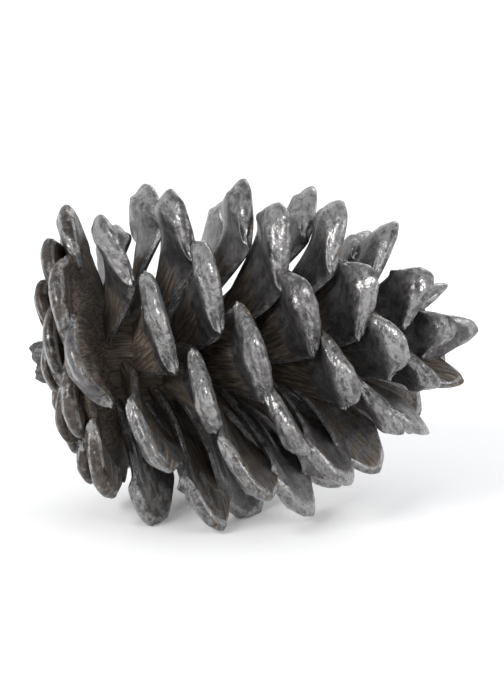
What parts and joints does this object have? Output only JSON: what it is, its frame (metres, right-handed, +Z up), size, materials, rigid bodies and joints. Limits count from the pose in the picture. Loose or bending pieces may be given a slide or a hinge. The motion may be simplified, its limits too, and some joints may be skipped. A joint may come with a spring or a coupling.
{
  "type": "painted pine cone",
  "caption": "Open pine cone sprayed with dark pewter paint, lying on its side, with woody scales in a spiral round a core and a short stalk.",
  "frame": {"origin": "middle of the bounding box in plan, on the surface that the cone rests on", "axes": "+X along the cone's length towards its tip, +Z up; the side that the picture shows faces -Y"},
  "size_m": [0.0568, 0.0444, 0.0426],
  "materials": {
    "painted_scales": "brown woody scales under a thin coat of dark pewter-grey metallic spray paint: speckled and slightly glossy on the scale ends, with lighter worn rims, thin or missing deep between the scales and brownish on the closed base"
  },
  "bodies": {
    "root": {"cone": "painted_scales"}
  },
  "joints": []
}
